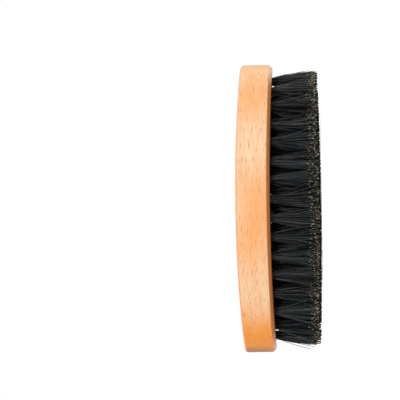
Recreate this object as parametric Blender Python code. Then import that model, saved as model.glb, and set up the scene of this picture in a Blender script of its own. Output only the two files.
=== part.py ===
"""Oval palm brush for beards: one drilled beech block, set with bundles of bristle.

The brush lies on its trimmed bristle tips. X runs along the block, Y across it and Z up,
with the origin on the surface it rests on, below the middle of the block.
Each bundle is folded over a small flat metal anchor and pressed into a blind hole.
"""

import math

import bmesh
import bpy
from mathutils import Matrix, Vector

# Wooden block
BLOCK_LENGTH = 0.118
BLOCK_WIDTH = 0.058
BLOCK_THICKNESS = 0.0141  # at the middle
OUTLINE_POWER = 2.12  # 2 is an ellipse, and a little more fills out the shoulders
BACK_RISE = 0.0026  # height of the back's middle over its two ends
FACE_RISE = 0.0017  # height of the drilled face's middle over its two ends
BACK_EDGE_ROUND = 0.0016
FACE_EDGE_CHAMFER = 0.0014

# Bristle field
BRISTLE_REACH = 0.0209  # from the trimmed tips to the drilled face, at the middle
EDGE_MARGIN = 0.0064  # from the block's outline to the outer ring of hole centres
RING_TUFTS = (32, 26, 20)  # bundles in each oval ring, from the outside in
CENTRE_TUFTS = 8  # bundles in the straight row down the middle
CENTRE_END_MARGIN = 0.005  # how much more than a ring step the row stops short of the inner ring
HOLE_DIAMETER = 0.0032
HOLE_DEPTH = 0.008
TIP_LEAN = 0.0018  # how far an outer bundle's tip stands outside its hole
TUFT_CLEARANCE = 0.0016  # between the tips of one ring and the next
NEIGHBOUR_CLEARANCE = 0.0018  # between the inner bundles of one ring or row, above their band
BAND_HEIGHT = 0.0055  # how far up from the tips the inner bundles mingle

# Anchors
ANCHOR_THICKNESS = 0.0005
ANCHOR_HEIGHT = 0.0016
FOLD_DEPTH = 0.0009  # bristle between an anchor's slot and the bottom of its hole
ANCHORS_PER_QUARTER = 6  # separate anchors modelled in each quarter of the outer ring

FIT_GAP = 0.0003  # between pieces that touch
FLAT_TOLERANCE = FIT_GAP / 10  # points this near a plane count as on it
CUTTER_OVERSHOOT = 0.0014  # how far the drills start outside the drilled face

# Mesh fineness
OUTLINE_SIDES = 64
ROUND_STEPS = 3
CAP_STRIPS = 16
TUFT_SIDES = 8
RING_STEPS = 720  # samples that measure the way round a ring
SMOOTH_ANGLE = math.radians(40)

# Sizes that follow from the ones above
HALF_LENGTH = BLOCK_LENGTH / 2
HALF_WIDTH = BLOCK_WIDTH / 2
FIELD_HALF_LENGTH = HALF_LENGTH - EDGE_MARGIN
FIELD_HALF_WIDTH = HALF_WIDTH - EDGE_MARGIN
RING_STEP = FIELD_HALF_WIDTH / len(RING_TUFTS)
HOLE_RADIUS = HOLE_DIAMETER / 2
STEM_RADIUS = HOLE_RADIUS - FIT_GAP
TIP_HALF_ACROSS = (RING_STEP - TUFT_CLEARANCE) / 2
FLAT_SHARE = math.cos(math.pi / TUFT_SIDES)  # a hole's flats lie this much nearer its axis
ANCHOR_LENGTH = 2 * (HOLE_RADIUS * FLAT_SHARE - FIT_GAP)

COLOURS = {
    "beech": ((0.92, 0.56, 0.30), 0.38, 0.0),
    "bristle": ((0.012, 0.013, 0.014), 0.45, 0.0),
    "anchor_steel": ((0.56, 0.55, 0.52), 0.35, 1.0),
}


def clear_scene():
    for thing in list(bpy.data.objects):
        bpy.data.objects.remove(thing, do_unlink=True)


def make_collection(name):
    collection = bpy.data.collections.new(name)
    bpy.context.scene.collection.children.link(collection)
    return collection


def make_material(name):
    colour, roughness, metallic = COLOURS[name]
    material = bpy.data.materials.new(name)
    material.use_nodes = True
    shader = material.node_tree.nodes["Principled BSDF"]
    shader.inputs["Base Color"].default_value = (*colour, 1.0)
    shader.inputs["Roughness"].default_value = roughness
    shader.inputs["Metallic"].default_value = metallic
    return material


def make_object(name, bm, collection, material=None, parent=None):
    """Turn a bmesh into a smooth-shaded object with outward faces."""
    bmesh.ops.recalc_face_normals(bm, faces=bm.faces)
    mesh = bpy.data.meshes.new(name)
    bm.to_mesh(mesh)
    bm.free()
    mesh.shade_smooth()
    mesh.set_sharp_from_angle(angle=SMOOTH_ANGLE)
    made = bpy.data.objects.new(name, mesh)
    collection.objects.link(made)
    made.parent = parent
    if material:
        mesh.materials.append(material)
    return made


def make_cutter(name, bm, collection):
    cutter = make_object(name, bm, collection)
    cutter.hide_render = True
    cutter.display_type = "WIRE"
    return cutter


def add_boolean(target, tool, operation):
    modifier = target.modifiers.new(operation.lower(), "BOOLEAN")
    modifier.operation = operation
    modifier.solver = "EXACT"
    modifier.object = tool


def oval_point(half_length, half_width, turn):
    """Point of the rounded oval at an angle in radians."""
    across = math.copysign(abs(math.cos(turn)) ** (2 / OUTLINE_POWER), math.cos(turn))
    along = math.copysign(abs(math.sin(turn)) ** (2 / OUTLINE_POWER), math.sin(turn))
    return Vector((half_length * across, half_width * along, 0.0))


def end_drop(x, rise):
    """How far a surface that arches by rise has fallen at x."""
    return rise * (x / HALF_LENGTH) ** 2


def face_height(x):
    return BRISTLE_REACH - end_drop(x, FACE_RISE)


def ring_places(ring):
    """Evenly spaced bundles round one ring as (x, y, outward angle), and their pitch.

    The first and last sit half a pitch either side of the ring's +X end.
    """
    half_length = FIELD_HALF_LENGTH - ring * RING_STEP
    half_width = FIELD_HALF_WIDTH - ring * RING_STEP
    turns = [2 * math.pi * i / RING_STEPS for i in range(RING_STEPS + 1)]
    samples = [oval_point(half_length, half_width, turn) for turn in turns]
    travelled = [0.0]
    for near, far in zip(samples, samples[1:]):
        travelled.append(travelled[-1] + (far - near).length)
    pitch = travelled[-1] / RING_TUFTS[ring]
    places = []
    sample = 0
    for count in range(RING_TUFTS[ring]):
        wanted = (count + 0.5) * pitch
        while travelled[sample + 1] < wanted:
            sample += 1
        step = samples[sample + 1] - samples[sample]
        share = (wanted - travelled[sample]) / step.length
        point = samples[sample] + share * step
        places.append((point.x, point.y, math.atan2(-step.x, step.y)))
    return places, pitch


def centre_places():
    """Bundles of the straight middle row, as ring_places gives them, and their pitch.

    The row stops where the inner ring narrows.
    """
    half_row = FIELD_HALF_LENGTH - len(RING_TUFTS) * RING_STEP - CENTRE_END_MARGIN
    pitch = 2 * half_row / (CENTRE_TUFTS - 1)
    return [(count * pitch - half_row, 0.0, math.pi / 2) for count in range(CENTRE_TUFTS)], pitch


def has_anchor(number):
    """Whether an outer bundle, numbered from 0, is one of those nearest the block's waist."""
    quarter = RING_TUFTS[0] / 4
    from_waist = abs((number + 0.5) % (2 * quarter) - quarter)
    return from_waist < ANCHORS_PER_QUARTER


def raise_cap(bm, cap, height):
    """Extrude a flat face upwards and return the new face.

    The old face stays where it closes the bottom, and goes where it would be inside.
    """
    inside = len(cap.edges[0].link_faces) > 1
    grown = bmesh.ops.extrude_face_region(bm, geom=[cap])["geom"]
    verts = [part for part in grown if isinstance(part, bmesh.types.BMVert)]
    bmesh.ops.translate(bm, verts=verts, vec=(0.0, 0.0, height))
    if inside and cap.is_valid:
        bmesh.ops.delete(bm, geom=[cap], context="FACES_ONLY")
    return next(part for part in grown if isinstance(part, bmesh.types.BMFace))


def add_tuft(bm, mouth, tip_height, half_across, half_along, lean):
    """One bundle about the local origin: an oval tip, tapering to a round stem in its hole.

    mouth is the height of the drilled face, and lean moves the tip outwards along +X.
    Returns the bundle's vertices.
    """
    ring = bmesh.ops.create_circle(bm, cap_ends=True, segments=TUFT_SIDES, radius=1.0)
    tip = ring["verts"][0].link_faces[0]
    bmesh.ops.scale(bm, verts=tip.verts, vec=(half_across, half_along, 1.0))
    bmesh.ops.translate(bm, verts=tip.verts, vec=(lean, 0.0, tip_height))
    throat = raise_cap(bm, tip, mouth - tip_height)
    throat_verts = list(throat.verts)
    bmesh.ops.translate(bm, verts=throat_verts, vec=(-lean, 0.0, 0.0))
    narrowing = (STEM_RADIUS / half_across, STEM_RADIUS / half_along, 1.0)
    bmesh.ops.scale(bm, verts=throat_verts, vec=narrowing)
    root = raise_cap(bm, throat, HOLE_DEPTH - FIT_GAP)
    return ring["verts"] + throat_verts + list(root.verts)


def root_height(x):
    """Height at which a bundle's folded end stops, just short of the hole's bottom."""
    return face_height(x) + HOLE_DEPTH - FIT_GAP


def anchor_height(x):
    """Height of the middle of the anchor in a hole at x."""
    return root_height(x) - FOLD_DEPTH - FIT_GAP - ANCHOR_HEIGHT / 2


def make_block(places, parts, cutters, material, parent):
    """The solid wooden block: chamfered round the face, rounded at the back, arched and drilled."""
    bm = bmesh.new()
    rim = bmesh.ops.create_circle(bm, cap_ends=True, segments=OUTLINE_SIDES, radius=1.0)
    for vert in rim["verts"]:
        vert.co = oval_point(HALF_LENGTH, HALF_WIDTH, math.atan2(vert.co.y, vert.co.x))
    face_cap = rim["verts"][0].link_faces[0]
    back_cap = raise_cap(bm, face_cap, BLOCK_THICKNESS)
    for cap, width, steps in (
        (face_cap, FACE_EDGE_CHAMFER, 1),
        (back_cap, BACK_EDGE_ROUND, ROUND_STEPS),
    ):
        bmesh.ops.bevel(
            bm,
            geom=list(cap.edges),
            offset=width,
            segments=steps,
            profile=0.5,
            affect="EDGES",
            material=-1,
        )
    slice_caps(bm)
    for vert in bm.verts:
        share = vert.co.z / BLOCK_THICKNESS
        drop = end_drop(vert.co.x, share * BACK_RISE + (1 - share) * FACE_RISE)
        vert.co.z += BRISTLE_REACH - drop
    block = make_object("wood_body", bm, parts, material, parent)
    add_boolean(block, make_hole_cutter(places, cutters), "DIFFERENCE")


def slice_caps(bm):
    """Cut the two flat caps into strips across the block, so that they can arch."""
    for level in (0.0, BLOCK_THICKNESS):
        for strip in range(1, CAP_STRIPS):
            x = HALF_LENGTH * (2 * strip / CAP_STRIPS - 1)
            flat = [
                face
                for face in bm.faces
                if all(abs(vert.co.z - level) < FLAT_TOLERANCE for vert in face.verts)
            ]
            edges = {edge for face in flat for edge in face.edges}
            verts = {vert for face in flat for vert in face.verts}
            bmesh.ops.bisect_plane(
                bm,
                geom=[*verts, *edges, *flat],
                dist=FLAT_TOLERANCE,
                plane_co=(x, 0.0, 0.0),
                plane_no=(1.0, 0.0, 0.0),
            )


def make_hole_cutter(places, cutters):
    """Every blind hole as one cutter, which starts a little below the drilled face."""
    bm = bmesh.new()
    for x, y, angle in places:
        depth = HOLE_DEPTH + CUTTER_OVERSHOOT
        middle = face_height(x) + HOLE_DEPTH - depth / 2
        bmesh.ops.create_cone(
            bm,
            cap_ends=True,
            segments=TUFT_SIDES,
            radius1=HOLE_RADIUS,
            radius2=HOLE_RADIUS,
            depth=depth,
            matrix=Matrix.Translation((x, y, middle)) @ Matrix.Rotation(angle, 4, "Z"),
        )
    return make_cutter("hole_cutter", bm, cutters)


def make_box(bm, size, middle):
    place = Matrix.Translation(middle) @ Matrix.Diagonal((*size, 1.0))
    bmesh.ops.create_cube(bm, size=1.0, matrix=place)


def make_outer_tufts(places, pitch, parts, cutters, materials, parent):
    """The outer ring: each bundle is its own piece, most with their own metal anchor."""
    slots = bmesh.new()
    for number, (x, y, _) in enumerate(places):
        if has_anchor(number):
            slot_size = (ANCHOR_THICKNESS + 2 * FIT_GAP, HOLE_DIAMETER, ANCHOR_HEIGHT + 2 * FIT_GAP)
            make_box(slots, slot_size, (x, y, anchor_height(x)))
    slot_cutter = make_cutter("anchor_slots", slots, cutters)
    for number, (x, y, angle) in enumerate(places):
        bm = bmesh.new()
        half_along = (pitch - FIT_GAP) / 2
        add_tuft(bm, face_height(x), 0.0, TIP_HALF_ACROSS, half_along, TIP_LEAN)
        name = f"tuft_outer_{number + 1:02d}"
        tuft = make_object(name, bm, parts, materials["bristle"], parent)
        tuft.location = (x, y, 0.0)
        tuft.rotation_euler = (0.0, 0.0, angle)
        if has_anchor(number):
            add_boolean(tuft, slot_cutter, "DIFFERENCE")
            make_anchor(number, x, y, parts, materials["anchor_steel"], parent)


def make_anchor(number, x, y, parts, material, parent):
    """A flat metal bar that lies across the grain, inside the fold of its bundle."""
    bm = bmesh.new()
    make_box(bm, (ANCHOR_THICKNESS, ANCHOR_LENGTH, ANCHOR_HEIGHT), (0.0, 0.0, 0.0))
    anchor = make_object(f"anchor_{number + 1:02d}", bm, parts, material, parent)
    anchor.location = (x, y, anchor_height(x))


def make_stems(name, places, pitch, cutters):
    """The bundles of one inner group, from their holes down into the band of tips."""
    bm = bmesh.new()
    half_across = TIP_HALF_ACROSS - FIT_GAP
    half_along = (pitch - NEIGHBOUR_CLEARANCE) / 2
    for x, y, angle in places:
        verts = add_tuft(bm, face_height(x), BAND_HEIGHT / 2, half_across, half_along, 0.0)
        place = Matrix.Translation((x, y, 0.0)) @ Matrix.Rotation(angle, 4, "Z")
        bmesh.ops.transform(bm, matrix=place, verts=verts)
    return make_cutter(name, bm, cutters)


def make_inner_ring(ring, parts, cutters, material, parent):
    """An inner oval ring: its bundles, joined where their tips mingle in one band."""
    places, pitch = ring_places(ring)
    name = f"bristle_ring_{ring + 1}"
    bm = bmesh.new()
    for side in (-1, 1):
        half_length = FIELD_HALF_LENGTH - ring * RING_STEP + side * TIP_HALF_ACROSS
        half_width = FIELD_HALF_WIDTH - ring * RING_STEP + side * TIP_HALF_ACROSS
        loop = bmesh.ops.create_circle(bm, segments=OUTLINE_SIDES, radius=1.0)
        for vert in loop["verts"]:
            vert.co = oval_point(half_length, half_width, math.atan2(vert.co.y, vert.co.x))
    bmesh.ops.bridge_loops(bm, edges=bm.edges)
    thicken(bm)
    band = make_object(name, bm, parts, material, parent)
    add_boolean(band, make_stems(f"{name}_stems", places, pitch, cutters), "UNION")
    return places


def thicken(bm):
    """Give a flat sheet at Z 0 the height of the band of tips."""
    grown = bmesh.ops.extrude_face_region(bm, geom=list(bm.faces))["geom"]
    verts = [part for part in grown if isinstance(part, bmesh.types.BMVert)]
    bmesh.ops.translate(bm, verts=verts, vec=(0.0, 0.0, BAND_HEIGHT))


def make_centre_row(parts, cutters, material, parent):
    """The straight middle row: its bundles, joined in a bar of tips with rounded ends."""
    places, pitch = centre_places()
    half_row = places[-1][0]
    bm = bmesh.new()
    size = (2 * (half_row + TIP_HALF_ACROSS), 2 * TIP_HALF_ACROSS, BAND_HEIGHT)
    make_box(bm, size, (0.0, 0.0, BAND_HEIGHT / 2))
    upright = [edge for edge in bm.edges if edge.verts[0].co.xy == edge.verts[1].co.xy]
    bmesh.ops.bevel(
        bm,
        geom=upright,
        offset=TIP_HALF_ACROSS - FIT_GAP,
        segments=ROUND_STEPS,
        profile=0.5,
        affect="EDGES",
        material=-1,
    )
    row = make_object("bristle_centre_row", bm, parts, material, parent)
    add_boolean(row, make_stems("centre_row_stems", places, pitch, cutters), "UNION")
    return places


def main():
    clear_scene()
    parts = make_collection("beard_brush")
    cutters = make_collection("cutters")
    materials = {name: make_material(name) for name in COLOURS}
    root = bpy.data.objects.new("beard_brush", None)
    parts.objects.link(root)

    outer_places, outer_pitch = ring_places(0)
    make_outer_tufts(outer_places, outer_pitch, parts, cutters, materials, root)
    places = list(outer_places)
    for ring in range(1, len(RING_TUFTS)):
        places += make_inner_ring(ring, parts, cutters, materials["bristle"], root)
    places += make_centre_row(parts, cutters, materials["bristle"], root)
    make_block(places, parts, cutters, materials["beech"], root)


main()
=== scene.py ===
# %% [markdown]
# # An oval beard brush
# A palm brush for beards is three things: a drilled block of beech, thousands of bristles, and a small metal
# anchor in each hole that holds a folded bundle of them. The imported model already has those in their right
# places and sizes. This script keeps that frame and makes the surfaces that the eye sees: the lacquered wood
# with its grain, every single bristle, and the print on the back.

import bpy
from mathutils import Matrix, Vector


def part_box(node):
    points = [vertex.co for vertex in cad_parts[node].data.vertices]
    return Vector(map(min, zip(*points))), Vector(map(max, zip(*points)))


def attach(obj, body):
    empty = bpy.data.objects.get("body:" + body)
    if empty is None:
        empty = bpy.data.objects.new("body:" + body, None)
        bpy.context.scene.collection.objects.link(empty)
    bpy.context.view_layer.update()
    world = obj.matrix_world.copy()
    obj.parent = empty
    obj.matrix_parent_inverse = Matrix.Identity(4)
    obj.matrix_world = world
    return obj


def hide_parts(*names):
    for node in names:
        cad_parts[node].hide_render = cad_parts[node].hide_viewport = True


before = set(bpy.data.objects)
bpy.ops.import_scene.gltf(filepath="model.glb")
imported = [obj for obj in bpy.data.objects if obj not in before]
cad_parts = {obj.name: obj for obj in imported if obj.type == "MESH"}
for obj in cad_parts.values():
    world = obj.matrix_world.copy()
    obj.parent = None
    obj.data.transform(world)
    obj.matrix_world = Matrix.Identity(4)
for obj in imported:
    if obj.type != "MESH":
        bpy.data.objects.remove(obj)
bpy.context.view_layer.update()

import math
import random

import bmesh
import bpy
from mathutils import Matrix, Vector

MM = 0.001
BODY = "root"  # a brush with no joints is one body

# %% [markdown]
# ## One oval, one arch
# Nearly every outline on the brush is the same curve: an oval a little fuller than an ellipse. One formula
# gives it, a superellipse with a power just over 2. The block also arches gently along its length, the back
# a little more than the drilled face, so two heights as functions of x place everything that sits on them.

# %% The oval and the arch
OUTLINE_POWER = 2.12
BACK_RISE = 2.6 * MM
FACE_RISE = 1.7 * MM

block_low, block_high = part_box("wood_body")
HALF_LENGTH = block_high.x
HALF_WIDTH = block_high.y
BACK_MIDDLE = block_high.z
FACE_MIDDLE = block_low.z + FACE_RISE


def oval_point(half_length, half_width, turn):
    """Point of the oval at an angle in radians."""
    power = 2 / OUTLINE_POWER
    x = math.copysign(abs(math.cos(turn)) ** power, math.cos(turn))
    y = math.copysign(abs(math.sin(turn)) ** power, math.sin(turn))
    return Vector((half_length * x, half_width * y, 0.0))


def outward(x, y, half_length, half_width):
    """Direction, as an angle, in which an oval through (x, y) faces."""
    along = math.copysign(abs(x / half_length) ** (OUTLINE_POWER - 1), x) / half_length
    across = math.copysign(abs(y / half_width) ** (OUTLINE_POWER - 1), y) / half_width
    return math.atan2(across, along)


def back_height(x):
    return BACK_MIDDLE - BACK_RISE * (x / HALF_LENGTH) ** 2


def face_height(x):
    return FACE_MIDDLE - FACE_RISE * (x / HALF_LENGTH) ** 2


print("block", round(2 * HALF_LENGTH / MM), "x", round(2 * HALF_WIDTH / MM), "mm")

# %% [markdown]
# ## Where the bundles are
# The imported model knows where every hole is, because a stem of bristle stands in each. So the script asks
# it: all the points of a node that lie well inside the block belong to stems, and the points of one stem lie
# within one hole's width. That is simpler than a second copy of the layout, and it can't drift from it.

# %% Find each bundle
HOLE_RADIUS = 1.6 * MM
INSIDE_BLOCK = FACE_MIDDLE + 4 * MM


def stems(node):
    """The (x, y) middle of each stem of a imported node."""
    points = [vert.co.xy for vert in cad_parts[node].data.vertices if vert.co.z > INSIDE_BLOCK]
    found = []
    while points:
        first = points[0]
        near = [point for point in points if (point - first).length < 2 * HOLE_RADIUS]
        points = [point for point in points if (point - first).length >= 2 * HOLE_RADIUS]
        low = Vector((min(p.x for p in near), min(p.y for p in near)))
        high = Vector((max(p.x for p in near), max(p.y for p in near)))
        found.append((low + high) / 2)
    return found


bundles = {}
for name in sorted(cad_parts):
    if name.startswith(("tuft_", "bristle_")):
        bundles[name] = stems(name)
        if not name.startswith("tuft_"):
            print(name, len(bundles[name]), "bundles")
print("bundles in all:", sum(len(found) for found in bundles.values()))

# %% [markdown]
# ## Finishing a piece
# Every piece ends the same way: faces turned outwards, smooth shading with true edges kept sharp, its
# material, a place in the imported model's body, and the CAD nodes it stands for hidden.

# %% The helper that ends each piece
SHARP = math.radians(35)


def make_piece(name, bm, material, nodes=()):
    """Turn a finished bmesh into a piece of the brush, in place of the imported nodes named."""
    bmesh.ops.recalc_face_normals(bm, faces=bm.faces)
    mesh = bpy.data.meshes.new(name)
    bm.to_mesh(mesh)
    bm.free()
    mesh.materials.append(material)
    mesh.shade_smooth()
    mesh.set_sharp_from_angle(angle=SHARP)
    piece = bpy.data.objects.new(name, mesh)
    bpy.context.scene.collection.objects.link(piece)
    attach(piece, BODY)
    if nodes:
        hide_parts(*nodes)
    return piece


# %% [markdown]
# ## Colours and nodes
# Colours are written as the hex values a painter would pick on screen. Blender's shaders work in linear
# light, so one function converts them. Another adds a node with its settings and its links, which keeps
# each material below readable as a list of what feeds what.

# %% Helpers for materials
def linear(code):
    """A hex colour such as F8BE90 as linear red, green, blue and alpha."""
    parts = [int(code[i : i + 2], 16) / 255 for i in (0, 2, 4)]
    return (*[c / 12.92 if c <= 0.04045 else ((c + 0.055) / 1.055) ** 2.4 for c in parts], 1.0)


def add_node(tree, kind, settings=None, links=None):
    """A shader node: settings are its properties or input values, links are what feeds its inputs."""
    node = tree.nodes.new("ShaderNode" + kind)
    for key, value in (settings or {}).items():
        if isinstance(key, str) and hasattr(node, key):
            setattr(node, key, value)
        else:
            node.inputs[key].default_value = value
    for key, source in (links or {}).items():
        tree.links.new(source, node.inputs[key])
    return node


def new_material(name):
    """An empty material: its tree, its Principled shader, and the material."""
    material = bpy.data.materials.new(name)
    material.use_nodes = True
    tree = material.node_tree
    return tree, tree.nodes["Principled BSDF"], material


# a Mix node has its own sockets for each kind of data, and these are their places
FLOAT_A, FLOAT_B, FLOAT_OUT = 2, 3, 0
VECTOR_A, VECTOR_B, VECTOR_OUT = 4, 5, 1
MIX_A, MIX_B, MIX_COLOUR = 6, 7, 2

# %% [markdown]
# ## Lacquered beech
# Beech is pale and even. What makes it beech is its flecks: short dark dashes where the wood's rays are cut
# across, a few millimetres long and a few tenths wide, all in line with the grain. A solid pattern would be
# the honest way, but here both the back and the sides show the dashes edge-on, and a solid pattern only does
# that on one of them. So the back and the sides each get their own grain space, in millimetres along, across
# and into the wood, chosen by which way the surface faces.

# %% Grain space: millimetres along, across and into the wood
GRAIN_TURN = math.radians(15)  # on the back, the grain runs a little across the block
FACES_UP = 0.6  # a surface that faces up or down more than this counts as the back
RIM_FADE = (0.2, 0.95)  # the same measure over the rounded rim, where the back's colour comes in
WANDER, WANDER_LENGTH = 5.0, 40.0  # mm: how far the back's grain strays, and over what length
PER_MM = (1 / MM,) * 3


def grain_space(tree):
    """The place in the grain, then 1 on the back and 0 beside it, and the same fading over the rim."""
    coordinates = add_node(tree, "TexCoord")
    place, facing = coordinates.outputs["Object"], coordinates.outputs["Normal"]
    upright = add_node(tree, "SeparateXYZ", {}, {0: facing})
    steep = add_node(tree, "Math", {"operation": "ABSOLUTE"}, {0: upright.outputs["Z"]})
    on_back = add_node(tree, "Math", {"operation": "GREATER_THAN", 1: FACES_UP}, {0: steep.outputs[0]})
    turned = add_node(
        tree, "Mapping", {"Rotation": (0.0, 0.0, -GRAIN_TURN), "Scale": PER_MM}, {"Vector": place}
    )
    level = add_node(tree, "Mapping", {"Scale": PER_MM}, {"Vector": place})
    parts = add_node(tree, "SeparateXYZ", {}, {0: level.outputs[0]})
    side = add_node(
        tree,
        "CombineXYZ",
        {},
        {"X": parts.outputs["X"], "Y": parts.outputs["Z"], "Z": parts.outputs["Y"]},
    )
    straight = add_node(
        tree,
        "Mix",
        {"data_type": "VECTOR"},
        {0: on_back.outputs[0], VECTOR_A: side.outputs[0], VECTOR_B: turned.outputs[0]},
    )
    slow_space = add_node(
        tree, "Mapping", {"Scale": (1 / WANDER_LENGTH,) * 3}, {"Vector": straight.outputs[VECTOR_OUT]}
    )
    slow = add_node(tree, "TexNoise", {"Scale": 1.0, "Detail": 1.0}, {"Vector": slow_space.outputs[0]})
    sideways = add_node(
        tree, "MapRange", {"To Min": -WANDER, "To Max": WANDER}, {"Value": slow.outputs["Fac"]}
    )
    on_back_only = add_node(
        tree, "Math", {"operation": "MULTIPLY"}, {0: sideways.outputs[0], 1: on_back.outputs[0]}
    )
    shift = add_node(tree, "CombineXYZ", {}, {"Y": on_back_only.outputs[0]})
    grain = add_node(
        tree,
        "VectorMath",
        {"operation": "ADD"},
        {0: straight.outputs[VECTOR_OUT], 1: shift.outputs[0]},
    )
    softly = add_node(
        tree, "MapRange", {"From Min": RIM_FADE[0], "From Max": RIM_FADE[1]}, {"Value": steep.outputs[0]}
    )
    return grain.outputs[0], on_back.outputs[0], softly.outputs[0]


# %% [markdown]
# ## The colour of the wood
# Four things make the colour. The sides are warm, with three paler stretches that are painted highlights,
# and they turn warmer still towards their -X end in painted shade. Slow bands follow the grain, where one
# year's growth was warmer than the next, and fine fibres lie over them. Last come the flecks: each is one
# cell of a Voronoi pattern, and two layers of different size stop them from lining up. The back is the same
# wood, a little pinker, with painted light that makes it paler at its +X end and warmer towards its -X end.

# %% Where the wood is pale and where it is warm, with painted highlights and painted shade
# painted highlights: three paler stretches along the sides, one of them at the +X end
PAINTED_HIGHLIGHTS = ((27.8, 21.0, 1.0), (-33.0, 28.0, 1.0), (60.0, 9.0, 0.9))  # middle, reach in mm; strength
WARM_SIDE, END_SHADE_WARMTH = 0.44, 1.1  # how warm the sides are between the painted highlights, and at the -X end with painted shade
SIDE_SHADE_SPAN = (-37.0, -51.0)  # mm: where the painted shade towards the -X end begins and where it is deepest
BACK_LIGHT_FALLOFF = (-0.1, 0.62)  # painted light on the back: its warmth at its +X end and at its -X end
WARM_BANDS = (-0.08, 0.3)  # what the slow bands take away or add


def warmth_with_painted_light(tree, where, on_back, bands):
    """0 where the beech is palest, 1 where it is warmest, painted highlights and painted shade included."""
    # painted shade: the sides turn warmer towards their -X end
    side = add_node(
        tree,
        "MapRange",
        {
            "From Min": SIDE_SHADE_SPAN[0] * MM,
            "From Max": SIDE_SHADE_SPAN[1] * MM,
            "To Min": WARM_SIDE,
            "To Max": END_SHADE_WARMTH,
        },
        {"Value": where.outputs["X"]},
    )
    # painted highlights: each stretch makes the sides paler around its middle
    for middle, reach, strength in PAINTED_HIGHLIGHTS:
        offset = add_node(tree, "Math", {"operation": "SUBTRACT", 1: middle * MM}, {0: where.outputs["X"]})
        distance = add_node(tree, "Math", {"operation": "ABSOLUTE"}, {0: offset.outputs[0]})
        painted_highlight = add_node(
            tree,
            "MapRange",
            {
                "interpolation_type": "SMOOTHSTEP",
                "From Min": reach * MM,
                "From Max": 0.0,
                "To Max": strength * WARM_SIDE,
            },
            {"Value": distance.outputs[0]},
        )
        side = add_node(tree, "Math", {"operation": "SUBTRACT"}, {0: side.outputs[0], 1: painted_highlight.outputs[0]})
    # painted light on the back: paler at the +X end, warmer in painted shade towards the -X end
    back = add_node(
        tree,
        "MapRange",
        {
            "From Min": HALF_LENGTH,
            "From Max": -HALF_LENGTH,
            "To Min": BACK_LIGHT_FALLOFF[0],
            "To Max": BACK_LIGHT_FALLOFF[1],
        },
        {"Value": where.outputs["X"]},
    )
    slow = add_node(
        tree,
        "Mix",
        {"data_type": "FLOAT"},
        {0: on_back, FLOAT_A: side.outputs[0], FLOAT_B: back.outputs[0]},
    )
    patch = add_node(
        tree,
        "MapRange",
        {"From Min": 0.3, "From Max": 0.7, "To Min": WARM_BANDS[0], "To Max": WARM_BANDS[1]},
        {"Value": bands.outputs["Fac"]},
    )
    return add_node(
        tree,
        "Math",
        {"operation": "ADD", "use_clamp": True},
        {0: slow.outputs[FLOAT_OUT], 1: patch.outputs[0]},
    ).outputs[0]


# %% Flecks
FLECK_LAYERS = (((4.2, 0.36, 2.2), (0.0, 0.0, 0.0)), ((5.6, 0.44, 2.6), (3.3, 1.7, 0.6)))  # mm: size, shift
FLECK_EDGE = (0.1, 0.34)  # a fleck is solid within the first, and gone by the second, in cells
FLECK_CHANCE = (0.05, 0.9)  # a cell's random number: below the first no fleck, above the second a full one


def add_flecks(tree, grain):
    """How much of a fleck there is, from 0 to 1."""
    flecks = None
    for size, offset in FLECK_LAYERS:
        scale = tuple(1 / side for side in size)
        space = add_node(tree, "Mapping", {"Scale": scale, "Location": offset}, {"Vector": grain})
        cells = add_node(tree, "TexVoronoi", {"Scale": 1.0}, {"Vector": space.outputs[0]})
        spindle = add_node(
            tree,
            "MapRange",
            {"From Min": FLECK_EDGE[0], "From Max": FLECK_EDGE[1], "To Min": 1.0, "To Max": 0.0},
            {"Value": cells.outputs["Distance"]},
        )
        drawn = add_node(tree, "SeparateColor", {}, {"Color": cells.outputs["Color"]})
        strength = add_node(
            tree,
            "MapRange",
            {"From Min": FLECK_CHANCE[0], "From Max": FLECK_CHANCE[1]},
            {"Value": drawn.outputs[0]},
        )
        layer = add_node(
            tree, "Math", {"operation": "MULTIPLY"}, {0: spindle.outputs[0], 1: strength.outputs[0]}
        ).outputs[0]
        if flecks:
            layer = add_node(tree, "Math", {"operation": "MAXIMUM"}, {0: flecks, 1: layer}).outputs[0]
        flecks = layer
    return flecks


# %% [markdown]
# ## Beech, sanded and lacquered
# The flecks and fibres are mixed over the wood's own colour one after another, each by its own share. The
# chamfer beside the bristles gets painted shade and a painted reflection of the dark bristles, so it comes
# out brown, but only where bristle stands next to it: at the two ends of the block it stays pale. The sides
# get painted shade too, turning brown over their last few millimetres at the -X end. Sanding and a thin
# satin lacquer give a soft shine, so the wood gets a little coat over a rougher ground, and the flecks lie a
# few hundredths of a millimetre deep.

# %% Lacquered beech
BAND_SIZE = (40, 6, 9)  # mm along, across and into the wood
FIBRE_SIZE = (13, 0.45, 3)  # the same for the fibres, drawn a little wider than real so that they show
FIBRE_SHARE, FLECK_SHARE = 0.38, 0.85  # how much of their own colour fibres and flecks give
FACE_CHAMFER = 1.4 * MM
CHAMFER_SHADE_EDGE = (0.96, 1.06)  # shares of the chamfer's height between which the painted shade stops
# painted shade and painted reflection of the dark bristles on the chamfer: how brown it gets
CHAMFER_SHADE = 0.97
BRISTLE_ENDS = (50, 56)  # mm from the middle: the painted shade fades where the bristle ends
CHAMFER_SHADE_LEFT = 0.1  # the share of the painted shade left beyond that
NOSE_SHADE_SPAN, NOSE_SHADE_DEPTH = (-55.5, -59.0), 0.7  # mm: where painted shade browns the sides' last few millimetres at the -X end; how brown it gets


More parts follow.
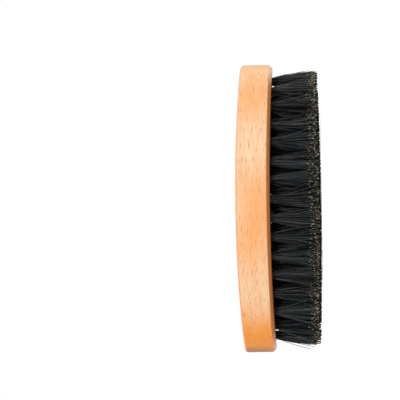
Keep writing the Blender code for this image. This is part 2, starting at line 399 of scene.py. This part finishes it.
def height_over_face(tree, where):
    """How far a point of the block is above its arched, drilled face."""
    share = add_node(tree, "Math", {"operation": "MULTIPLY", 1: 1 / HALF_LENGTH}, {0: where.outputs["X"]})
    square = add_node(tree, "Math", {"operation": "MULTIPLY"}, {0: share.outputs[0], 1: share.outputs[0]})
    lifted = add_node(
        tree,
        "Math",
        {"operation": "MULTIPLY_ADD", 1: FACE_RISE},
        {0: square.outputs[0], 2: where.outputs["Z"]},
    )
    return add_node(tree, "Math", {"operation": "SUBTRACT", 1: FACE_MIDDLE}, {0: lifted.outputs[0]})


def tint(tree, colour, code, share):
    """Mix a colour, a value or a socket, with another, given as hex, by a share."""
    mixed = add_node(tree, "Mix", {"data_type": "RGBA", MIX_B: linear(code)}, {0: share})
    if isinstance(colour, tuple):
        mixed.inputs[MIX_A].default_value = colour
    else:
        tree.links.new(colour, mixed.inputs[MIX_A])
    return mixed.outputs[MIX_COLOUR]


def make_beech():
    """Sanded beech under satin lacquer: pale, warm and softly shining, with short dark flecks, and with
    painted highlights and painted shade.
    """
    tree, shader, material = new_material("lacquered_beech")
    grain, on_back, towards_back = grain_space(tree)
    where = add_node(tree, "SeparateXYZ", {}, {0: add_node(tree, "TexCoord").outputs["Object"]})

    band_scale = tuple(1 / size for size in BAND_SIZE)
    band_space = add_node(tree, "Mapping", {"Scale": band_scale}, {"Vector": grain})
    bands = add_node(tree, "TexNoise", {"Scale": 1.0, "Detail": 3.0}, {"Vector": band_space.outputs[0]})
    fibre_scale = tuple(1 / size for size in FIBRE_SIZE)
    fibre_space = add_node(tree, "Mapping", {"Scale": fibre_scale}, {"Vector": grain})
    fibres = add_node(tree, "TexNoise", {"Scale": 1.0, "Detail": 2.0}, {"Vector": fibre_space.outputs[0]})

    # the wood's own warmth, with the painted highlights and painted shade of the sides and back
    tone_and_light = warmth_with_painted_light(tree, where, on_back, bands)
    pale = tint(tree, linear("F6D1A9"), "F7D2B4", towards_back)
    warm = tint(tree, linear("FA9828"), "EE966A", towards_back)
    wood = add_node(
        tree, "Mix", {"data_type": "RGBA"}, {0: tone_and_light, MIX_A: pale, MIX_B: warm}
    ).outputs[MIX_COLOUR]
    fibre_share = add_node(
        tree,
        "MapRange",
        {"From Min": 0.4, "From Max": 0.75, "To Max": FIBRE_SHARE},
        {"Value": fibres.outputs["Fac"]},
    ).outputs[0]
    wood = tint(tree, wood, "EA9A5C", fibre_share)
    flecks = add_flecks(tree, grain)
    fleck_share = add_node(tree, "Math", {"operation": "MULTIPLY", 1: FLECK_SHARE}, {0: flecks}).outputs[0]
    wood = tint(tree, wood, "AD632B", fleck_share)

    # painted shade: the sides turn brown over their last few millimetres at the -X end
    nose_shade = add_node(
        tree,
        "MapRange",
        {
            "interpolation_type": "SMOOTHSTEP",
            "From Min": NOSE_SHADE_SPAN[0] * MM,
            "From Max": NOSE_SHADE_SPAN[1] * MM,
            "To Max": NOSE_SHADE_DEPTH,
        },
        {"Value": where.outputs["X"]},
    )
    on_side = add_node(tree, "Math", {"operation": "SUBTRACT", 0: 1.0}, {1: towards_back})
    nose_shade_share = add_node(
        tree, "Math", {"operation": "MULTIPLY"}, {0: nose_shade.outputs[0], 1: on_side.outputs[0]}
    )
    wood = tint(tree, wood, "80481A", nose_shade_share.outputs[0])

    over_face = height_over_face(tree, where)
    # painted shade and painted reflection of the dark bristles: the chamfer turns brown beside the bristle
    on_chamfer = add_node(
        tree,
        "MapRange",
        {
            "From Min": CHAMFER_SHADE_EDGE[0] * FACE_CHAMFER,
            "From Max": CHAMFER_SHADE_EDGE[1] * FACE_CHAMFER,
            "To Min": CHAMFER_SHADE,
            "To Max": 0.0,
        },
        {"Value": over_face.outputs[0]},
    )
    from_middle = add_node(tree, "Math", {"operation": "ABSOLUTE"}, {0: where.outputs["X"]})
    beside_bristle = add_node(
        tree,
        "MapRange",
        {
            "From Min": BRISTLE_ENDS[0] * MM,
            "From Max": BRISTLE_ENDS[1] * MM,
            "To Min": 1.0,
            "To Max": CHAMFER_SHADE_LEFT,
        },
        {"Value": from_middle.outputs[0]},
    )
    painted_chamfer_shade = add_node(
        tree, "Math", {"operation": "MULTIPLY"}, {0: on_chamfer.outputs[0], 1: beside_bristle.outputs[0]}
    )
    wood = tint(tree, wood, "B26520", painted_chamfer_shade.outputs[0])
    tree.links.new(wood, shader.inputs["Base Color"])

    rough = add_node(
        tree,
        "MapRange",
        {"From Min": 0.3, "From Max": 0.7, "To Min": 0.36, "To Max": 0.48},
        {"Value": fibres.outputs["Fac"]},
    )
    tree.links.new(rough.outputs[0], shader.inputs["Roughness"])
    relief = add_node(tree, "Math", {"operation": "SUBTRACT"}, {0: fibre_share, 1: fleck_share})
    bump = add_node(
        tree, "Bump", {"Strength": 0.3, "Distance": 0.03 * MM}, {"Height": relief.outputs[0]}
    )
    tree.links.new(bump.outputs[0], shader.inputs["Normal"])
    shader.inputs["IOR"].default_value = 1.5
    shader.inputs["Coat Weight"].default_value = 0.3
    shader.inputs["Coat Roughness"].default_value = 0.22
    return material


beech = make_beech()
print("made", beech.name)

# %% [markdown]
# ## The block
# The block starts as a flat oval plate. Its rims are worked while they are still flat, because a bevel on a
# plain outline comes out even: a round one at the back, and a chamfer with eased edges round the drilled
# face. Then its two broad faces are cut into strips, which lets every point be lowered by the arch at its
# x. The holes come last, as one Boolean cut with every drill at once. A second way would be to model half
# and mirror it, but the oval is one loop and needs no seam.

# %% Block of beech
OUTLINE_SIDES = 176
CHAMFER_SOFT = 0.42 * MM  # the easing of the chamfer's own two edges
BACK_ROUND = 1.6 * MM
ROUND_STEPS = 7
STRIPS = 44
NEAR = 0.01 * MM  # points this near a plane count as on it
HOLE_DEPTH = 8 * MM
DRILL_SIDES = 20


def extrude_up(bm, faces, height):
    """Extrude faces by a height and return what was made."""
    made = bmesh.ops.extrude_face_region(bm, geom=faces)["geom"]
    verts = [part for part in made if isinstance(part, bmesh.types.BMVert)]
    bmesh.ops.translate(bm, verts=verts, vec=(0.0, 0.0, height))
    return made


def round_off(bm, edges, width, steps):
    """Bevel edges and return the new faces. One step makes a flat chamfer."""
    return bmesh.ops.bevel(
        bm,
        geom=edges,
        offset=width,
        segments=steps,
        profile=0.5,
        affect="EDGES",
        material=-1,
    )["faces"]


def cut_strips(bm, faces, count, low, high):
    """Cut faces across their length at evenly spaced x."""
    edges = {edge for face in faces for edge in face.edges}
    verts = {vert for face in faces for vert in face.verts}
    geometry = [*verts, *edges, *faces]
    for strip in range(1, count):
        x = low + (high - low) * strip / count
        cut = bmesh.ops.bisect_plane(
            bm, geom=geometry, dist=NEAR, plane_co=(x, 0, 0), plane_no=(1, 0, 0)
        )
        geometry = cut["geom"]


def make_block():
    """The block before it is drilled."""
    bm = bmesh.new()
    rim = bmesh.ops.create_circle(bm, cap_ends=True, segments=OUTLINE_SIDES, radius=1.0)["verts"]
    for vert in rim:
        vert.co = oval_point(HALF_LENGTH, HALF_WIDTH, math.atan2(vert.co.y, vert.co.x))
    face_cap = rim[0].link_faces[0]
    thickness = BACK_MIDDLE - FACE_MIDDLE
    made = extrude_up(bm, [face_cap], thickness)
    back_cap = next(part for part in made if isinstance(part, bmesh.types.BMFace))
    round_off(bm, list(back_cap.edges), BACK_ROUND, ROUND_STEPS)
    chamfer = round_off(bm, list(face_cap.edges), FACE_CHAMFER, 1)
    borders = {e for face in chamfer for e in face.edges if not set(e.link_faces) <= set(chamfer)}
    round_off(bm, list(borders), CHAMFER_SOFT, 3)
    for level in (0.0, thickness):
        flat = [f for f in bm.faces if all(abs(v.co.z - level) < NEAR for v in f.verts)]
        cut_strips(bm, flat, STRIPS, -HALF_LENGTH, HALF_LENGTH)
    for vert in bm.verts:
        share = vert.co.z / thickness
        low = face_height(vert.co.x)
        vert.co.z = low + share * (back_height(vert.co.x) - low)
    return bm


def make_drills(places):
    """One object with a cylinder for every hole."""
    bm = bmesh.new()
    for place in places:
        depth = HOLE_DEPTH + FACE_CHAMFER
        middle = face_height(place.x) + HOLE_DEPTH - depth / 2
        bmesh.ops.create_cone(
            bm,
            cap_ends=True,
            segments=DRILL_SIDES,
            radius1=HOLE_RADIUS,
            radius2=HOLE_RADIUS,
            depth=depth,
            matrix=Matrix.Translation((place.x, place.y, middle)),
        )
    mesh = bpy.data.meshes.new("drills")
    bm.to_mesh(mesh)
    bm.free()
    drills = bpy.data.objects.new("drills", mesh)
    bpy.context.scene.collection.objects.link(drills)
    return drills


block = make_piece("block", make_block(), beech, ["wood_body"])
drills = make_drills([place for found in bundles.values() for place in found])
cut = block.modifiers.new("holes", "BOOLEAN")
cut.operation = "DIFFERENCE"
cut.solver = "EXACT"
cut.object = drills
bpy.context.view_layer.update()
drilled = bpy.data.meshes.new_from_object(block.evaluated_get(bpy.context.evaluated_depsgraph_get()))
block.modifiers.clear()
block.data = drilled
drilled.shade_smooth()
drilled.set_sharp_from_angle(angle=SHARP)
bpy.data.objects.remove(drills, do_unlink=True)
print("block:", len(drilled.polygons), "faces")

# %% [markdown]
# ## Bristle
# Brush bristle is dyed boar hair: near black, a little glossy, and never quite even, so each strand carries
# a tone of its own, and one in a couple of hundred is grey where the dye didn't take. A hair's own end is
# split and takes no dye either, so it shows as a tan speck. Three numbers on every point of a strand are
# all that the material needs: its tone, how split its end is, and how far the end is.

# %% Dyed boar bristle
TIP_PALE = 0.55 * MM  # how far from its end a split hair is pale
TIP_FULL = 0.35  # the share of that which is fully pale
STREAK_SIZE = (0.5 * MM, 0.5 * MM, 6 * MM)  # patches where the dye took better or worse
UNDYED_TONE = (0.992, 0.996)  # strands with a tone above this are grey
UNDYED_SHARE = 0.6


def make_bristle_material():
    """Boar hair dyed black: dark, with a sheen along each hair, and tan where an end is split."""
    tree, shader, material = new_material("dyed_boar_bristle")
    tone = add_node(tree, "Attribute", {"attribute_name": "tone"}).outputs["Fac"]
    from_tip = add_node(tree, "Attribute", {"attribute_name": "from_tip"}).outputs["Fac"]
    split = add_node(tree, "Attribute", {"attribute_name": "split"}).outputs["Fac"]
    place = add_node(tree, "TexCoord").outputs["Object"]
    streak_scale = tuple(1 / size for size in STREAK_SIZE)
    streaks = add_node(tree, "Mapping", {"Scale": streak_scale}, {"Vector": place})
    patchy = add_node(
        tree, "TexNoise", {"Scale": 1.0, "Detail": 2.0}, {"Vector": streaks.outputs[0]}
    )
    shade = add_node(
        tree,
        "Math",
        {"operation": "MULTIPLY"},
        {0: tone, 1: patchy.outputs["Fac"]},
    )
    dyed = add_node(
        tree,
        "Mix",
        {"data_type": "RGBA", MIX_A: linear("050608"), MIX_B: linear("252B30")},
        {0: shade.outputs[0]},
    )
    undyed = add_node(
        tree,
        "MapRange",
        {
            "From Min": UNDYED_TONE[0],
            "From Max": UNDYED_TONE[1],
            "To Min": 0.0,
            "To Max": UNDYED_SHARE,
        },
        {"Value": tone},
    )
    strand = add_node(
        tree,
        "Mix",
        {"data_type": "RGBA", MIX_B: linear("9C968A")},
        {0: undyed.outputs[0], MIX_A: dyed.outputs[MIX_COLOUR]},
    )
    at_tip = add_node(
        tree,
        "MapRange",
        {"From Min": TIP_FULL * TIP_PALE, "From Max": TIP_PALE, "To Min": 1.0, "To Max": 0.0},
        {"Value": from_tip},
    )
    tip_share = add_node(
        tree, "Math", {"operation": "MULTIPLY"}, {0: at_tip.outputs[0], 1: split}
    )
    core = add_node(
        tree,
        "Mix",
        {"data_type": "RGBA", MIX_A: linear("A5854A"), MIX_B: linear("F6EED6")},
        {0: tone},
    )
    finished = add_node(
        tree,
        "Mix",
        {"data_type": "RGBA"},
        {0: tip_share.outputs[0], MIX_A: strand.outputs[MIX_COLOUR], MIX_B: core.outputs[MIX_COLOUR]},
    )
    tree.links.new(finished.outputs[MIX_COLOUR], shader.inputs["Base Color"])
    rough = add_node(
        tree,
        "MapRange",
        {"From Min": 0.0, "From Max": 1.0, "To Min": 0.32, "To Max": 0.52},
        {"Value": patchy.outputs["Fac"]},
    )
    tree.links.new(rough.outputs[0], shader.inputs["Roughness"])
    shader.inputs["IOR"].default_value = 1.45
    return material


bristle = make_bristle_material()
print("made", bristle.name)

# %% [markdown]
# ## One bundle, strand by strand
# A hair system would be quick, but it isn't a mesh, and a bundle of plain cones looks combed. So each strand
# is its own three-sided cone, bent along its own path: straight out of the hole, then fanning out until the
# bundle meets its neighbours at the tips. Strands gather in locks, as real ones do when they rub together.
# About one in six strays, and most of those leave the bundle at once and cross the gap beside it. Many end
# short of the trim in a split end. All of a bundle's cones are cut into segments at once, while they still
# stand straight.

# %% A bundle of bristles
STRANDS = 170
STRAND_RADIUS = 0.105 * MM
THINNEST, THICKEST = 0.75, 1.15  # of that radius
START_DEPTH = 3 * MM  # strands start this far inside the hole, out of sight
LEVELS = (0.14, 0.2, 0.36, 0.57, 0.79)  # shares of a strand's length at which it can bend
MOUTH = LEVELS[0]
LOCKS = 24
LOCK_PULL = 0.4
LOOSE, STRAY_LOOSE = 0.14, 0.46  # how far ends scatter about their lock, in bundle radii
STRAY_SHARE = 0.16
STRAY_SOONER = 0.6  # a stray leaves its bundle at once, unless its end is on the outer side
OUTER_SIDE = 0.3  # how far out that side starts, in bundle radii
BOW = 0.45 * MM  # how far a strand bows to one side
TRIM_SCATTER = 0.55 * MM  # how unevenly the ends are trimmed
SPLIT_LEAST, SPLIT_MOST = 0.8 * MM, 4.4 * MM  # how far short of the trim a split hair ends
SPLIT_SKEW = 1.5  # a power over 1 leaves more of them near the trim
SPLIT_THICKER, TAPER = 1.25, 0.9  # how thick a split end is, and any other, beside its root
END_TRIM = 0.8 * MM  # the trim follows the arch a little, and is shorter by this at the ends


def unit_disc(rng):
    """A random point in a circle of radius 1."""
    reach, turn = math.sqrt(rng.random()), rng.uniform(0, 2 * math.pi)
    return Vector((reach * math.cos(turn), reach * math.sin(turn)))


def plan_strand(rng, locks, fan, lean, split_share):
    """One strand's path in its bundle's own plane, where +X points outwards."""
    spot = unit_disc(rng)
    lock = min(locks, key=lambda centre: (centre - spot).length)
    end = spot.lerp(lock, LOCK_PULL)
    stray = rng.random() < STRAY_SHARE
    loose = STRAY_LOOSE if stray else LOOSE
    end += Vector((rng.gauss(0, loose), rng.gauss(0, loose)))
    split = rng.random() < split_share
    short = SPLIT_LEAST + (SPLIT_MOST - SPLIT_LEAST) * rng.random() ** SPLIT_SKEW
    return {
        "root": spot * (HOLE_RADIUS - STRAND_RADIUS),
        "tip": Vector((end.x * fan.x + lean, end.y * fan.y)),
        "bow": Vector((rng.gauss(0, BOW), rng.gauss(0, BOW))),
        "sooner": STRAY_SOONER if stray and end.x < OUTER_SIDE else 1.0,
        "cut": abs(rng.gauss(0, TRIM_SCATTER)) + (short if split else 0.0),
        "tone": rng.random(),
        "split": rng.uniform(0.5, 1.0) if split else 0.0,
    }


def bend_strand(vert, plan, place, spin, opening):
    """Move a point of a straight strand, of length 1, onto its path. Gives its height over the end."""
    share = vert.co.z
    mouth = face_height(place.x)
    start = mouth + START_DEPTH
    end = plan["cut"] + STRAND_RADIUS + END_TRIM * (place.x / HALF_LENGTH) ** 2
    fanned = max(0.0, (share - MOUTH) / (1 - MOUTH))
    middle = plan["root"].lerp(plan["tip"], fanned ** (opening * plan["sooner"]))
    middle += plan["bow"] * 4 * fanned * (1 - fanned)
    flat = spin @ middle + place + vert.co.xy
    if share <= MOUTH:
        height = start + (mouth - start) * share / MOUTH
    else:
        height = mouth + (end - mouth) * fanned
    vert.co = (flat.x, flat.y, height)
    return height - end


def add_bundle(bm, rng, place, angle, fan, lean, split_share, opening):
    """Add every strand of one bundle to bm. The lower the opening, the sooner the bundle fans out."""
    one = bmesh.new()
    number_layer = one.verts.layers.int.new("strand")
    floats = {name: one.verts.layers.float.new(name) for name in ("tone", "split", "from_tip")}
    for name in floats:
        if not bm.verts.layers.float.get(name):
            bm.verts.layers.float.new(name)
    locks = [unit_disc(rng) for _ in range(LOCKS)]
    plans = []
    for number in range(STRANDS):
        plan = plan_strand(rng, locks, fan, lean, split_share)
        plans.append(plan)
        radius = STRAND_RADIUS * rng.uniform(THINNEST, THICKEST)
        end_radius = radius * (SPLIT_THICKER if plan["split"] else TAPER)
        turn = Matrix.Rotation(rng.uniform(0, math.pi), 4, "Z")
        cone = bmesh.ops.create_cone(
            one,
            cap_ends=True,
            segments=3,
            radius1=radius,
            radius2=end_radius,
            depth=1.0,
            matrix=Matrix.Translation((0, 0, 0.5)) @ turn,
        )
        for vert in cone["verts"]:
            vert[number_layer] = number
    for level in LEVELS:
        bmesh.ops.bisect_plane(
            one,
            geom=[*one.verts, *one.edges, *one.faces],
            dist=1e-6,
            plane_co=(0, 0, level),
            plane_no=(0, 0, 1),
        )
    spin = Matrix.Rotation(angle, 2)
    for vert in one.verts:
        plan = plans[vert[number_layer]]
        vert[floats["from_tip"]] = bend_strand(vert, plan, place, spin, opening)
        vert[floats["tone"]] = plan["tone"]
        vert[floats["split"]] = plan["split"]
    scratch = bpy.data.meshes.new("bundle")
    one.to_mesh(scratch)
    one.free()
    bm.from_mesh(scratch)
    bpy.data.meshes.remove(scratch)


print("strands in a bundle:", STRANDS)

# %% [markdown]
# ## The bristle field
# The outer ring leans out towards the block's edge and gives the brush its outline. Its bundles stay narrow
# at first, so dark gaps show between them, and only those at the two ends open sooner, because nothing
# stands behind them. The inner bundles stand upright, fan out at once and fill the middle. Each node of the
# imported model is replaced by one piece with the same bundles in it.

# %% All the bundles
EDGE_MARGIN = 6.4 * MM
OUTER_FAN = Vector((3.1, 4.2)) * MM
INNER_FAN = Vector((3.9, 4.2)) * MM
OUTER_LEAN = 1.0 * MM
OUTER_SPLIT, INNER_SPLIT = 0.7, 0.5  # shares of hairs whose own split end shows
OUTER_OPENING, INNER_OPENING = 1.25, 0.36  # powers: the lower, the sooner a bundle fans out
END_SOONER = 0.35  # taken from the outer power at the ends, where a gap would let light through
SEED = 48  # leaves the least light between the last bundles of the +X end

field_length, field_width = HALF_LENGTH - EDGE_MARGIN, HALF_WIDTH - EDGE_MARGIN
rng = random.Random(SEED)
strand_count = 0
for node, places in bundles.items():
    outer = node.startswith("tuft_")
    bm = bmesh.new()
    for place in places:
        angle = outward(place.x, place.y, field_length, field_width)
        if outer:
            opening = OUTER_OPENING - END_SOONER * (place.x / HALF_LENGTH) ** 2
            add_bundle(bm, rng, place, angle, OUTER_FAN, OUTER_LEAN, OUTER_SPLIT, opening)
        else:
            add_bundle(bm, rng, place, angle, INNER_FAN, 0.0, INNER_SPLIT, INNER_OPENING)
        strand_count += STRANDS
    make_piece("strands_" + node.split("_", 1)[1], bm, bristle, [node])
print("strands:", strand_count)

# %% [markdown]
# ## Anchors
# The anchors are snipped from flat galvanised wire, so they are a dull grey metal with a fine spangle. None
# shows in a finished brush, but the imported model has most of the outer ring's, so they get a real metal,
# and every other bundle gets its anchor here.

# %% Galvanised anchors
ANCHOR_SIZE = Vector((0.5, 2.35, 1.6)) * MM
ANCHOR_EDGE = 0.08 * MM
SPANGLE = 0.35 * MM


def make_steel():
    """Galvanised wire: grey zinc with small crystals."""
    tree, shader, material = new_material("galvanised_steel")
    place = add_node(tree, "TexCoord").outputs["Object"]
    spangle = add_node(tree, "TexVoronoi", {"Scale": 1 / SPANGLE}, {"Vector": place})
    grey = add_node(
        tree,
        "Mix",
        {"data_type": "RGBA", MIX_A: linear("A3A6A8"), MIX_B: linear("C6C8C9")},
        {0: spangle.outputs["Distance"]},
    )
    tree.links.new(grey.outputs[MIX_COLOUR], shader.inputs["Base Color"])
    rough = add_node(
        tree, "MapRange", {"To Min": 0.3, "To Max": 0.5}, {"Value": spangle.outputs["Distance"]}
    )
    tree.links.new(rough.outputs[0], shader.inputs["Roughness"])
    shader.inputs["Metallic"].default_value = 1.0
    return material


steel = make_steel()
for name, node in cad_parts.items():
    if name.startswith("anchor_"):
        node.data.materials.clear()
        node.data.materials.append(steel)

first_anchor = min(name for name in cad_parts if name.startswith("anchor_"))
anchor_low, anchor_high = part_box(first_anchor)
anchor_middle = (anchor_low + anchor_high) / 2
anchor_above_face = anchor_middle.z - face_height(anchor_middle.x)
held = {name.replace("anchor", "tuft_outer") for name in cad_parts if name.startswith("anchor_")}
bm = bmesh.new()
for node, places in bundles.items():
    if node not in held:
        for place in places:
            middle = Vector((place.x, place.y, face_height(place.x) + anchor_above_face))
            shape = Matrix.Translation(middle) @ Matrix.Diagonal((*ANCHOR_SIZE, 1.0))
            bmesh.ops.create_cube(bm, size=1.0, matrix=shape)
round_off(bm, list(bm.edges), ANCHOR_EDGE, 1)
make_piece("other_anchors", bm, steel)
print("anchors:", len(held), "in the packed model, and one here for every other bundle")

# %% [markdown]
# ## The print
# The back carries a print in white ink: a solid panel near one end and a thin frame below it. Here the
# panel has a plain lattice of diamonds left open in it, and the frame holds a row of lozenges. Screen ink
# is matt, hardly mottled, and a few hundredths of a millimetre thick, so the print is a real raised layer:
# flat shapes, cut into strips, laid on the arch of the back and then thickened. That also keeps its edges
# crisp at any distance.

# %% White screen print
INK_THICK = 0.05 * MM
INK_LIFT = 0.02 * MM
LINE = 0.75 * MM
FRAME_X = (-39.1 * MM, 30.4 * MM)
PANEL_X = (11.5 * MM, 30.4 * MM)
FRAME_HALF_WIDTH = 11.6 * MM
LATTICE = 4  # diamonds each way
LOZENGES = 6
LOZENGE_SHARE = (0.36, 0.3)  # half a lozenge, as a share of its room and of the frame's half width
OPEN_SHARE = 0.36  # half an open diamond, as a share of its cell
PRINT_STRIPS = 48
MOTTLE = 1.2 * MM


def make_ink():
    """White screen ink: matt and nearly even."""
    tree, shader, material = new_material("white_screen_ink")
    place = add_node(tree, "TexCoord").outputs["Object"]
    mottle = add_node(tree, "TexNoise", {"Scale": 1 / MOTTLE, "Detail": 3.0}, {"Vector": place})
    white = add_node(
        tree,
        "Mix",
        {"data_type": "RGBA", MIX_A: linear("FFFEFA"), MIX_B: linear("FBF5E9")},
        {0: mottle.outputs["Fac"]},
    )
    tree.links.new(white.outputs[MIX_COLOUR], shader.inputs["Base Color"])
    rough = add_node(
        tree, "MapRange", {"To Min": 0.4, "To Max": 0.6}, {"Value": mottle.outputs["Fac"]}
    )
    tree.links.new(rough.outputs[0], shader.inputs["Roughness"])
    return material


def add_bar(bm, low_x, high_x, low_y, high_y):
    """A flat rectangle, in the print's own plane at Z 0."""
    middle = Vector(((low_x + high_x) / 2, (low_y + high_y) / 2, 0))
    size = Matrix.Diagonal((high_x - low_x, high_y - low_y, 1, 1))
    place = Matrix.Translation(middle) @ size
    bmesh.ops.create_grid(bm, x_segments=1, y_segments=1, size=0.5, matrix=place)


def add_diamond(bm, x, half_length, half_width):
    shape = Matrix.Translation((x, 0, 0)) @ Matrix.Diagonal((half_length, half_width, 1, 1))
    bmesh.ops.create_circle(bm, cap_ends=True, segments=4, radius=1.0, matrix=shape)


def add_cell(bm, x, y, width, height):
    """One cell of the lattice: a square frame round an open diamond."""
    outer = bmesh.ops.create_circle(bm, segments=4, radius=1.0)["verts"]
    inner = bmesh.ops.create_circle(bm, segments=4, radius=1.0)["verts"]
    centre = Vector((x + width / 2, y + height / 2, 0))
    for vert in outer:
        turn = math.atan2(vert.co.y, vert.co.x) + math.pi / 4
        reach = Vector((math.cos(turn) * width, math.sin(turn) * height, 0)) / math.sqrt(2)
        vert.co = centre + reach
    for vert in inner:
        vert.co = centre + Vector((vert.co.x * width, vert.co.y * height, 0)) * OPEN_SHARE
    edges = list({edge for vert in outer + inner for edge in vert.link_edges})
    bmesh.ops.bridge_loops(bm, edges=edges)


def make_print():
    bm = bmesh.new()
    low_x, high_x = FRAME_X
    side = FRAME_HALF_WIDTH
    add_bar(bm, low_x, low_x + LINE, -side, side)
    for edge in (-1, 1):
        y = sorted((edge * side, edge * (side - LINE)))
        add_bar(bm, low_x + LINE, PANEL_X[0], *y)
    room = (PANEL_X[0] - low_x - LINE) / LOZENGES
    for count in range(LOZENGES):
        x = low_x + LINE + (count + 0.5) * room
        add_diamond(bm, x, LOZENGE_SHARE[0] * room, LOZENGE_SHARE[1] * side)
    cell_x = (high_x - PANEL_X[0]) / LATTICE
    cell_y = 2 * side / LATTICE
    for i in range(LATTICE):
        for j in range(LATTICE):
            add_cell(bm, PANEL_X[0] + i * cell_x, -side + j * cell_y, cell_x, cell_y)
    bmesh.ops.remove_doubles(bm, verts=bm.verts, dist=0.1 * NEAR)
    cut_strips(bm, list(bm.faces), PRINT_STRIPS, low_x, high_x)
    for vert in bm.verts:
        vert.co.z = back_height(vert.co.x) + INK_LIFT
    extrude_up(bm, list(bm.faces), INK_THICK)
    return bm


ink = make_ink()
printed = make_piece("back_print", make_print(), ink)
print("print:", len(printed.data.polygons), "faces")

# %% [markdown]
# ## Studio
# The brush lies bristles down on white paper. The camera looks at its long side from just above the table,
# with a long lens, and is turned a quarter, so the brush stands upright in the picture. A big soft light
# comes from the front and above, a small one from the +X end and one from behind, and a white room fills
# in the rest.

# %% Floor, light and camera
VIEW_WIDTH = 164.5 * MM  # how much the picture takes in, at the brush
LENS = 260.0
SENSOR = 36.0
CAMERA_HEIGHT = 8 * MM
LEAN = math.radians(-0.9)  # the brush leans this much in the picture
LOOK_X, LOOK_Z = 3.9 * MM, 50.0 * MM  # what the middle of the picture looks at
PAPER_LIFT = 0.6  # makes the paper as white to the eye as a lit backdrop, and lights nothing
ROOM_LIGHT = 0.62
FLOOR_HALF = 3.0


def make_floor():
    """White paper, wide enough that its edge is never seen."""
    bm = bmesh.new()
    bmesh.ops.create_grid(bm, x_segments=1, y_segments=1, size=FLOOR_HALF)
    mesh = bpy.data.meshes.new("floor")
    bm.to_mesh(mesh)
    bm.free()
    tree, shader, material = new_material("white_paper")
    shader.inputs["Base Color"].default_value = linear("F7F7F7")
    shader.inputs["Roughness"].default_value = 0.9
    shader.inputs["Emission Color"].default_value = linear("FFFFFF")
    seen = add_node(tree, "LightPath").outputs["Is Camera Ray"]
    lift = add_node(tree, "Math", {"operation": "MULTIPLY", 1: PAPER_LIFT}, {0: seen})
    tree.links.new(lift.outputs[0], shader.inputs["Emission Strength"])
    mesh.materials.append(material)
    floor = bpy.data.objects.new("floor", mesh)
    bpy.context.scene.collection.objects.link(floor)


def add_light(name, place, size, watts):
    """A round soft light that faces the brush."""
    lamp = bpy.data.lights.new(name, "AREA")
    lamp.shape = "DISK"
    lamp.size = size
    lamp.energy = watts
    light = bpy.data.objects.new(name, lamp)
    light.location = place
    light.rotation_mode = "QUATERNION"
    light.rotation_quaternion = (-Vector(place)).to_track_quat("-Z", "Y")
    bpy.context.scene.collection.objects.link(light)


make_floor()
# metres, metres and watts: where each light is, how wide, how bright
add_light("key", (0.1, -0.95, 0.5), 0.6, 4.6)
add_light("end_light", (0.7, 0.1, 0.25), 0.35, 1.1)
add_light("back_fill", (-0.2, 0.6, 0.5), 0.6, 1.6)

world = bpy.data.worlds.new("white_room")
bpy.context.scene.world = world
world.use_nodes = True
room = world.node_tree.nodes["Background"]
room.inputs["Color"].default_value = linear("FFFFFF")
seen = add_node(world.node_tree, "LightPath").outputs["Is Camera Ray"]
strength = add_node(
    world.node_tree, "MapRange", {"To Min": ROOM_LIGHT, "To Max": 1.0}, {"Value": seen}
)
world.node_tree.links.new(strength.outputs[0], room.inputs["Strength"])
bpy.context.scene.view_settings.view_transform = "Standard"

lens = bpy.data.cameras.new("camera")
lens.lens = LENS
lens.sensor_width = SENSOR
camera = bpy.data.objects.new("camera", lens)
bpy.context.scene.collection.objects.link(camera)
distance = VIEW_WIDTH * LENS / SENSOR
camera.location = (LOOK_X, -distance, CAMERA_HEIGHT)
towards = Vector((LOOK_X, 0.0, LOOK_Z)) - camera.location
up = Vector((math.cos(LEAN), 0.0, math.sin(LEAN)))
right = towards.cross(up).normalized()
up = right.cross(towards).normalized()
axes = Matrix((right, up, -towards.normalized())).transposed()
camera.rotation_mode = "QUATERNION"
camera.rotation_quaternion = axes.to_quaternion()
bpy.context.scene.camera = camera
print("camera at", [round(value, 3) for value in camera.location])
